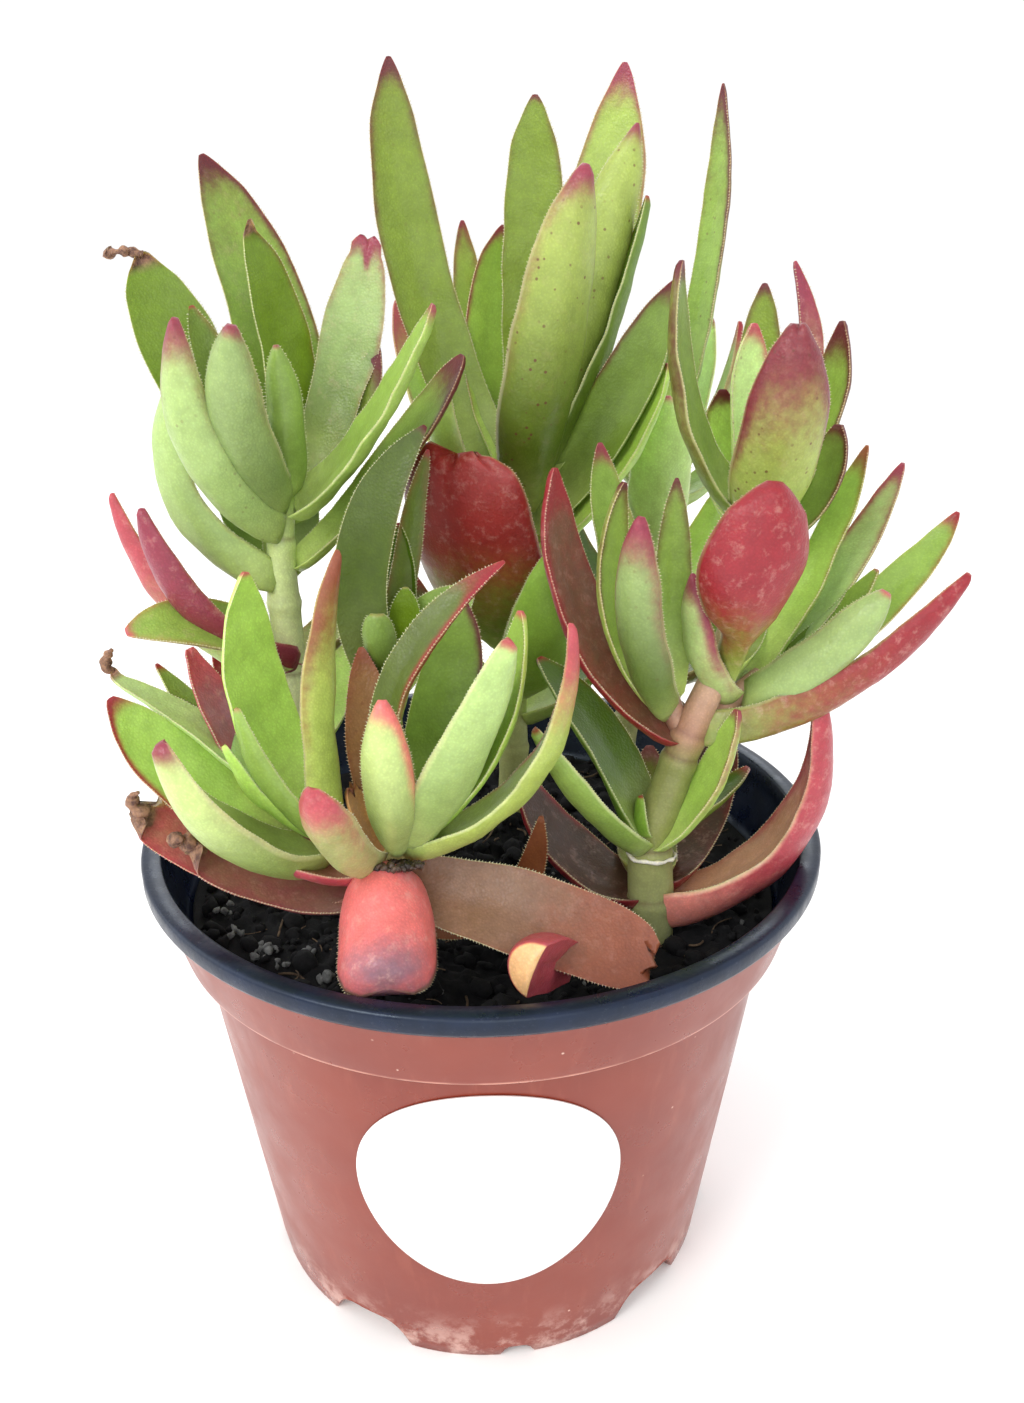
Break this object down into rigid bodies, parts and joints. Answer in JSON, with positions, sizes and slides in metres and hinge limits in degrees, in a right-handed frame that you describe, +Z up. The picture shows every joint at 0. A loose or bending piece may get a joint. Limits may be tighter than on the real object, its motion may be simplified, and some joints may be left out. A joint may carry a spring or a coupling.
{
  "type": "potted succulent",
  "caption": "Red-tipped leafy succulent stems growing in dark potting mix, in a round tapered plastic nursery pot with a bare round label.",
  "frame": {"origin": "middle of the pot's flat underside, on the surface that it stands on", "axes": "+Z up along the pot's axis; the label faces -Y; +X is to the right as the label is looked at"},
  "size_m": [0.1359, 0.1177, 0.201],
  "materials": {
    "pot_plastic": "thin terracotta plastic outside, black inside and on the rim, satin",
    "label_paper": "smooth white sticker, bare",
    "potting_mix": "dark moist crumbs with pale grit and fibres",
    "leaf": "waxy lime green leaves, crimson at the tips and margins, satin"
  },
  "bodies": {
    "root": {"pot": "pot_plastic", "label": "label_paper", "potting_mix": "potting_mix", "back_left_stem": "leaf", "front_stem": "leaf", "middle_stem": "leaf", "back_centre_stem": "leaf", "back_right_stem": "leaf", "right_stem": "leaf"}
  },
  "joints": []
}
